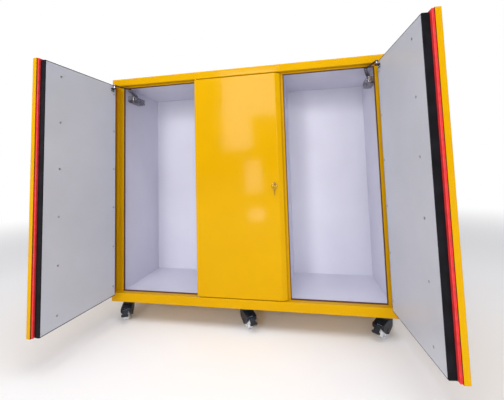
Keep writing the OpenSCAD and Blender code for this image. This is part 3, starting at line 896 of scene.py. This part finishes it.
def lock_key(place):
    bm = bmesh.new()
    bow = circle(11.5 * MM, 48, (-22 * MM, 0))
    holed_plate(bm, bow, (-28 * MM, 0, 2.6 * MM), "x", -1.1 * MM, 1.1 * MM)
    collar = [(3 * MM, -12 * MM), (3 * MM, -5.4 * MM), (3.6 * MM, -5.2 * MM), (3.6 * MM, -4 * MM)]
    lathe(bm, collar, ORIGIN, Y)
    bitted_blade(bm, True, -4.2 * MM, 15 * MM, 3.7 * MM, -3.7 * MM, 0.85 * MM)
    piece("cut_lock_key", bm, "lock", "key_metal", ["lock_key"], place, bevel=0.35 * MM)


def spare_key(place):
    """Ring over the key's shank, and the spare key hanging in it."""
    ring_z = -6.8 * MM
    bow_z = ring_z - RING_R - 4 * MM
    bm = bmesh.new()
    ring_wire(bm, (0, 0, ring_z), RING_R, 0.9 * MM, Y)
    bow = circle(6.5 * MM, 40, (0, bow_z))
    holed_plate(bm, bow, (0, bow_z + 3 * MM, 2.3 * MM), "x", -1 * MM, 1 * MM)
    bitted_blade(bm, False, bow_z - 5 * MM, bow_z - 22 * MM, 2.5 * MM, -2.5 * MM, 0.9 * MM)
    shift = Matrix.Translation((0, -8 * MM, 0))
    piece("ring_and_spare_key", bm, "spare_key", "key_metal", ["spare_key"], place @ shift)


def lock():
    place = Matrix.Translation(joints["lock_turn"]["pos_m"])
    lock_barrel(place)
    lock_plug(place)
    lock_key(place)
    spare_key(place)


# ---- Door closers ----

def closer_body(side):
    """Casting with eased edges, a ribbed cover and two fixing screws."""
    (x0, x1), (y0, y1), (z0, z1) = CLOSER_X, CLOSER_Y, CLOSER_Z
    step = 4 * MM
    bm = bmesh.new()
    outline = rounded([(x0, y0), (x1, y0), (x1, y1), (x0, y1)], [0, 5 * MM, 5 * MM, 0], 6)
    pocketed(bm, outline, (*SPINDLE, SPINDLE_R + 0.1 * MM), "z", z0 + step, z1 - 12 * MM, z1)
    inner = rectangle(x0, x1 - 6 * MM, y0 + 10 * MM, y1 - 10 * MM)
    prism(bm, rounded(inner, [0, 4 * MM, 4 * MM, 0]), "z", z0, z0 + step + 0.5 * MM)
    cover = rectangle(y0 + 24 * MM, y1 - 24 * MM, z0 + 9 * MM, z1 - 5 * MM)
    prism(bm, rounded(cover, 3 * MM), "x", x1 - 1 * MM, x1 + 0.8 * MM)
    first_rib, rib_pitch = 30 * MM, 13 * MM
    for rib in range(4):
        y = y0 + first_rib + rib_pitch * rib
        prism(bm, rounded(rectangle(y, y + 4 * MM, z0 + 12 * MM, z1 - 8 * MM), 1.5 * MM), "x",
              x1, x1 + 1.6 * MM)
    piece(side + "_closer_casting", bm, "cabinet", "closer_metal", [side + "_closer"],
          side_place(side), bevel=1.0 * MM)
    bm = bmesh.new()
    boss = [(SPINDLE_R + 0.1 * MM, z1 - MM), (SPINDLE_R + 0.1 * MM, z1 + 3 * MM), (9.6 * MM, z1 + 3 * MM),
            (10.6 * MM, z1 + 2 * MM), (11 * MM, z1), (11 * MM, z1 - MM)]
    lathe(bm, boss, (*SPINDLE, 0), Z, 40, loop=True)
    block(bm, (x0 + 1 * MM, y0 - 0.3 * MM, z0 + 9 * MM), (x1 - 4 * MM, y0 + 2 * MM, z1 - 1 * MM))
    for y in (y0 + 12 * MM, y1 - 12 * MM):
        socket_head(bm, (x1, y, (z0 + z1) / 2 + 2 * MM), X, 5 * MM, 2 * MM)
    piece(side + "_closer_boss_and_cap", bm, "cabinet", "closer_metal", [side + "_closer"],
          side_place(side), finish=MATERIALS["pin_steel"])


def closer_arm(side, place):
    """Tapered arm on the spindle, with a capped screw."""
    low, high = ARM_Z
    bm = bmesh.new()
    holed_plate(bm, stadium(ARM_LENGTH, 8 * MM, 7 * MM), (ARM_LENGTH, 0, LINK_HOLE), "z", low, high)
    lathe(bm, [(SPINDLE_R, CLOSER_Z[1] - 11.5 * MM), (SPINDLE_R, low + MM)], ORIGIN, Z)
    socket_head(bm, (0, 0, high), Z, 7 * MM, 1.8 * MM)
    piece(side + "_tapered_arm", bm, side + "_arm", "closer_metal", [side + "_closer_arm"], place,
          bevel=0.5 * MM, segments=2)


def closer_link(side, place):
    """Link with eyes at both ends and a domed rivet at the elbow."""
    low, high = LINK_Z
    ease = 0.15 * MM
    bm = bmesh.new()
    holed_plate(bm, stadium(LINK_LENGTH, 5 * MM, 5 * MM), (0, 0, LINK_HOLE), "z", low, high)
    eye = [(LINK_HOLE, low - ease), (6 * MM, low - ease), (6.5 * MM, low + ease), (6.5 * MM, high - ease),
           (6 * MM, high + ease), (LINK_HOLE, high + ease)]
    lathe(bm, eye, ORIGIN, Z, loop=True)
    rivet = [(2.7 * MM, low - 1.2 * MM), (2.7 * MM, low), (6.2 * MM, low), (6.5 * MM, low + ease),
             (6.5 * MM, high), (4.4 * MM, high + ease), (4.2 * MM, high + 1.0 * MM),
             (3.0 * MM, high + 1.8 * MM), (0, high + 2.0 * MM)]
    lathe(bm, rivet, (LINK_LENGTH, 0, 0), Z)
    piece(side + "_riveted_link", bm, side + "_link", "closer_link", [side + "_closer_link"], place)


def door_bracket(side):
    """Pressed bracket on the inner panel, its pin held by a clip."""
    place = door_place(side) @ Matrix.Translation((0, 0, body_low.z))
    x, y = LINK_PIN
    top = ARM_Z[0] - 6 * MM
    bm = bmesh.new()
    flange = rounded(rectangle(x - 9 * MM, x + 9 * MM, top - 14 * MM, top), 2.5 * MM)
    prism(bm, flange, "y", DOOR_DEPTH, DOOR_DEPTH + 2.5 * MM)
    shelf = rectangle(x - 9 * MM, x + 9 * MM, DOOR_DEPTH, y + 6 * MM)
    prism(bm, rounded(shelf, [0, 0, 7 * MM, 7 * MM], 8), "z", top - 4 * MM, top)
    slope = [(DOOR_DEPTH + MM, top - 3 * MM), (DOOR_DEPTH + MM, top - 12 * MM), (y - 2 * MM, top - 3 * MM)]
    prism(bm, slope, "x", x - 1.5 * MM, x + 1.5 * MM)
    piece(side + "_pressed_bracket", bm, side + "_door", "closer_metal", [side + "_door_bracket"], place,
          bevel=0.4 * MM, segments=2, finish=MATERIALS["closer_link"])
    bm = bmesh.new()
    tip = LINK_Z[1] + 2.5 * MM
    pin = [(3 * MM, top - MM), (3 * MM, tip - 1.6 * MM), (4.6 * MM, tip - 1.6 * MM),
           (4.6 * MM, tip - 0.9 * MM), (3 * MM, tip - 0.9 * MM), (3 * MM, tip - 0.4 * MM), (2.6 * MM, tip)]
    lathe(bm, pin, (x, y, 0), Z)
    for across in (-5.4 * MM, 5.4 * MM):
        screw_head(bm, x + across, top - 9 * MM, DOOR_DEPTH + 2.5 * MM, 2.4 * MM, 1 * MM)
    piece(side + "_bracket_pin", bm, side + "_door", "pin_steel", [side + "_door_bracket"], place)


def closers():
    for side in ("left", "right"):
        arm_place, link_place = linkage_places(side)
        closer_body(side)
        closer_arm(side, arm_place)
        closer_link(side, link_place)
        door_bracket(side)


# ---- Castors ----

def hex_bolt(bm, x, y, top, height, radius, sides=24):
    """Hexagon head hanging from top, chamfered below."""
    rings = []
    for share, drop, six_sided in ((1.0, 0.0, True), (1.0, 0.72, True),
                                   (0.80, 1.0, False), (0.3, 1.0, False)):
        row = []
        for u, v in circle(radius * share, sides):
            reach = hexagon_reach(u, v) if six_sided else 1
            row.append(Vector((x + u * reach, y + v * reach, top - drop * height)))
        rings.append(row)
    skin(bm, rings)


def castor_plates():
    """Pressed plates with rolled ball races and four bolts each."""
    sheet = 3 * MM
    washer = -sheet - 0.8 * MM
    bore = 6.1 * MM
    race = [(bore, -9.6 * MM), (RACE_R - 5 * MM, -10 * MM), (RACE_R - 1.5 * MM, -9.2 * MM),
            (RACE_R, -7.4 * MM), (RACE_R, -5.8 * MM), (RACE_R - 1.4 * MM, -4 * MM),
            (RACE_R - 4 * MM, -sheet), (bore, -sheet)]
    for end in ("front", "rear"):
        for side in ("left", "middle", "right"):
            hub = Matrix.Translation((castor_place(end, side)).translation)
            bm = bmesh.new()
            outline = rounded(centred(*PLATE_HALF), 6 * MM)
            holed_plate(bm, outline, (0, 0, bore), "z", -sheet, -0.05 * MM)
            lathe(bm, race, ORIGIN, Z, 40, loop=True)
            for x, y in centred(*BOLT_AT):
                lathe(bm, [(WASHER_R, washer), (WASHER_R, -sheet)], (x, y, 0), Z, 24)
                hex_bolt(bm, x, y, washer, 4.2 * MM, 6 * MM)
            piece(f"{end}_{side}_castor_plate", bm, "cabinet", "castor_plate", ["castor_plates"], hub)


def fork_outline():
    """Side view of the hood, (y, z), with rounded corners."""
    corners = [(20, -17), (14, -48), (-14, -64), (-30, -64), (-59, -40), (-59, -27), (-22, -17)]
    radii = [1, 10, 8, 8, 8, 5, 12]
    return rounded([(y * MM, z * MM) for y, z in corners], [radius * MM for radius in radii])


def wheel_arch(steps=20):
    """The arc above the wheel, from its front to the pedal's opening, (y, z)."""
    reach = WHEEL_R + 3 * MM
    first, last = math.radians(9), math.radians(134)
    angles = [first + (last - first) * k / steps for k in range(steps + 1)]
    return [(-TRAIL + reach * math.cos(a), AXLE_Z + reach * math.sin(a)) for a in angles]


def castor_fork(end, side, body, node):
    """Moulded hood: two domed cheeks, a bridge over the wheel, a turned crown, king pin and axle."""
    outline = fork_outline()
    middle = Vector((-20 * MM, -41 * MM))
    bm = bmesh.new()
    for hand in (-1, 1):
        rings = []
        for x, share in ((WHEEL_GAP_HALF, 1.0), (FORK_HALF - 3.5 * MM, 1.0), (FORK_HALF - 1.6 * MM, 0.985),
                         (FORK_HALF - 0.4 * MM, 0.95), (FORK_HALF, 0.89)):
            flat = [middle + (Vector(point) - middle) * share for point in outline]
            rings.append([Vector((hand * x, y, z)) for y, z in flat])
        skin(bm, rings)
        cap = [(10.5 * MM, FORK_HALF - 0.5 * MM), (10 * MM, FORK_HALF + 0.6 * MM),
               (8 * MM, FORK_HALF + 1.2 * MM), (0, FORK_HALF + 1.4 * MM)]
        lathe(bm, cap, (0, -TRAIL, AXLE_Z), (hand, 0, 0))
    bridge = [(20 * MM, -17 * MM), (14.9 * MM, -43.5 * MM), (13 * MM, -47.5 * MM)] + wheel_arch()
    bridge += [(-45.5 * MM, -24 * MM), (-24 * MM, -17.8 * MM)]
    prism(bm, bridge, "x", -WHEEL_GAP_HALF, WHEEL_GAP_HALF)
    crown = [(23 * MM, CROWN_Z), (23 * MM, CROWN_TOP - 2 * MM), (22.2 * MM, CROWN_TOP - 0.6 * MM),
             (20.5 * MM, CROWN_TOP), (6 * MM, CROWN_TOP), (6 * MM, -4 * MM)]
    lathe(bm, crown, ORIGIN, Z, 40)
    lathe(bm, [(AXLE_R, -FORK_HALF), (AXLE_R, FORK_HALF)], (0, -TRAIL, AXLE_Z), X)
    if end == "front":
        lathe(bm, [(2 * MM, -20 * MM), (2 * MM, 20 * MM)], (0, PEDAL_Y, PEDAL_Z), X)
    piece(f"{end}_{side}_hood", bm, body, "castor_black", [node], castor_place(end, side))


def castor_wheel(end, side):
    """Grooved tread, dished web with ribs, and a bored hub."""
    bore, tread, half = AXLE_R + 0.1 * MM, WHEEL_R, WHEEL_HALF
    dish = half - 3 * MM
    right = [(tread - 0.9 * MM, 0), (tread - 0.9 * MM, 0.7 * MM), (tread, 1.3 * MM),
             (tread, half - 4.5 * MM), (tread - 0.5 * MM, half - 2.4 * MM),
             (tread - 1.5 * MM, half - 1.0 * MM), (tread - 3.2 * MM, half), (tread - 7 * MM, half),
             (tread - 9 * MM, dish), (14 * MM, dish), (12 * MM, half), (bore, half)]
    left = [(radius, -x) for radius, x in right[::-1]]
    bm = bmesh.new()
    centre = (0, -TRAIL, AXLE_Z)
    lathe(bm, right + left[:-1], centre, X, 56, loop=True)
    for rib in range(8):
        spin = Matrix.Rotation(2 * math.pi * rib / 8, 3, "X")
        corners = rectangle(12.5 * MM, tread - 7.5 * MM, -1 * MM, 1 * MM)
        rows = [[Vector(centre) + spin @ Vector((x, u, v)) for u, v in corners]
                for x in (-half + 0.6 * MM, half - 0.6 * MM)]
        skin(bm, rows)
    piece(f"{end}_{side}_ribbed_wheel", bm, f"{end}_{side}_wheel", "castor_wheel",
          [f"{end}_{side}_wheel"], castor_place(end, side))


def castor_pedal(side):
    """Brake pedal: bored barrel, sloping lever and a ribbed toe pad."""
    bm = bmesh.new()
    lever = rounded(rectangle(-11 * MM, 11 * MM, -22.5 * MM, -3 * MM), 1.5 * MM)
    prism(bm, lever, "z", -1.5 * MM, 2.5 * MM)
    toe = rounded(rectangle(-15 * MM, 15 * MM, -30 * MM, -21 * MM), 3.5 * MM)
    prism(bm, toe, "z", -3.5 * MM, 2.9 * MM)
    for rib in range(3):
        y = (-28.4 + 2.6 * rib) * MM
        block(bm, (-11 * MM, y, 2.8 * MM), (11 * MM, y + 1.1 * MM, 3.5 * MM))
    bm.transform(Matrix.Rotation(math.radians(PEDAL_SLOPE), 4, "X"))
    bore, barrel, length = 2.2 * MM, 4.5 * MM, 24 * MM
    end, ease = length / 2, 0.5 * MM
    tube = [(bore, -end), (barrel - ease, -end), (barrel, ease - end), (barrel, end - ease),
            (barrel - ease, end), (bore, end)]
    lathe(bm, tube, ORIGIN, X, loop=True)
    place = castor_place("front", side) @ Matrix.Translation((0, PEDAL_Y, PEDAL_Z))
    piece(f"front_{side}_toe_pedal", bm, f"front_{side}_pedal", "castor_black",
          [f"front_{side}_pedal"], place, bevel=0.4 * MM, segments=2)


def castors():
    castor_plates()
    for side in ("left", "middle", "right"):
        castor_fork("front", side, f"front_{side}_fork", f"front_{side}_fork")
        castor_fork("rear", side, "cabinet", "rear_castor_forks")
        castor_wheel("front", side)
        castor_wheel("rear", side)
        castor_pedal(side)


# ---- Stage, lights and camera ----

def floor_material():
    """Pale floor that turns to plain white light far from the object."""
    f = Finish("floor_white", Base_Color=(0.90, 0.90, 0.90, 1), Roughness=0.9)
    spot = f.node("ShaderNodeTexCoord").outputs["Object"]
    away = f.node("ShaderNodeVectorMath", {0: spot}, operation="LENGTH").outputs["Value"]
    links = {"Value": away, "From Min": 1.6, "From Max": 5.0, "To Min": 0.0, "To Max": 1.0}
    share = f.node("ShaderNodeMapRange", links, interpolation_type="SMOOTHSTEP").outputs["Result"]
    glow = f.node("ShaderNodeEmission", {"Color": (1, 1, 1, 1)}).outputs[0]
    links = {0: share, 1: f.shader.outputs[0], 2: glow}
    either = f.node("ShaderNodeMixShader", links).outputs[0]
    f.tree.links.new(either, f.tree.nodes["Material Output"].inputs["Surface"])
    return f.material


def stage():
    bm = bmesh.new()
    skin(bm, [[Vector((x, y, z)) for x, y in circle(FLOOR_R, 64)] for z in (-FLOOR_DEPTH, 0)])
    bmesh.ops.recalc_face_normals(bm, faces=bm.faces)
    mesh = bpy.data.meshes.new("floor")
    bm.to_mesh(mesh)
    bm.free()
    mesh.materials.append(floor_material())
    floor = bpy.data.objects.new("floor", mesh)
    bpy.context.scene.collection.objects.link(floor)


def sky():
    """Soft light from all round, stronger from above; the camera sees plain white."""
    world = bpy.data.worlds.new("studio")
    bpy.context.scene.world = world
    world.use_nodes = True
    tree = world.node_tree
    light = tree.nodes["Background"]
    spot = add_node(tree, "ShaderNodeTexCoord").outputs["Generated"]
    height = add_node(tree, "ShaderNodeSeparateXYZ", {"Vector": spot}).outputs["Z"]
    links = {"Value": height, "From Min": -0.1, "From Max": 1.0, "To Min": 0.14, "To Max": 0.60}
    shade = add_node(tree, "ShaderNodeMapRange", links).outputs["Result"]
    light.inputs["Color"].default_value = (0.93, 0.93, 1.0, 1)
    tree.links.new(shade, light.inputs["Strength"])
    seen = add_node(tree, "ShaderNodeBackground", {"Color": (1, 1, 1, 1)}).outputs[0]
    camera_ray = add_node(tree, "ShaderNodeLightPath").outputs["Is Camera Ray"]
    links = {0: camera_ray, 1: light.outputs[0], 2: seen}
    either = add_node(tree, "ShaderNodeMixShader", links).outputs[0]
    tree.links.new(either, tree.nodes["World Output"].inputs["Surface"])


def softbox(name, place, aim, size, power):
    lamp = bpy.data.lights.new(name, "AREA")
    lamp.shape = "RECTANGLE"
    lamp.size, lamp.size_y = size
    lamp.energy = power
    made = bpy.data.objects.new(name, lamp)
    made.location = place
    made.rotation_euler = (Vector(aim) - Vector(place)).to_track_quat("-Z", "Y").to_euler()
    bpy.context.scene.collection.objects.link(made)


def lights():
    """A stepped window and two lamps that the middle door reflects, two side sources, and one above."""
    softbox("window_top", (-0.726, -4.2, 2.13), (-0.726, 0, 2.13), (1.08, 0.90), 45)
    softbox("window_low", (-0.981, -4.2, 1.37), (-0.981, 0, 1.37), (0.572, 0.62), 16)
    softbox("tall_lamp", (-0.695, -4.2, 0.54), (-0.695, 0, 0.54), (0.286, 0.60), 7)
    softbox("small_lamp", (-0.277, -2.0, 0.17), (-0.277, 0, 0.17), (0.157, 0.13), 1.0)
    softbox("front_left", (-4.9, -4.2, 1.2), (-0.3, 0, 0.5), (1.6, 2.2), 38)
    softbox("front_right", (1.0, -4.4, 1.35), (0.3, 0, 0.5), (1.8, 2.0), 56)
    softbox("overhead", (0.2, -1.2, 4.0), (0.2, -1.0, 0.0), (3.5, 2.5), 88)


def camera():
    lens = bpy.data.cameras.new("camera")
    lens.sensor_width = 36
    lens.lens = 21.185
    lens.shift_x = 0.0089
    lens.shift_y = -0.1003
    lens.clip_start = 0.01
    made = bpy.data.objects.new("camera", lens)
    made.location = (0.27324, -1.21598, 0.64068)
    made.rotation_euler = [math.radians(angle) for angle in (94.219, 1.640, 11.231)]
    bpy.context.scene.collection.objects.link(made)
    bpy.context.scene.camera = made


bpy.context.scene.view_settings.view_transform = "Standard"
paint_cad_nodes()
outer_panels()
top_rail()
bottom_rail()
posts()
mullions()
opening_strips()
doors()
lock()
closers()
castors()
stage()
sky()
lights()
camera()
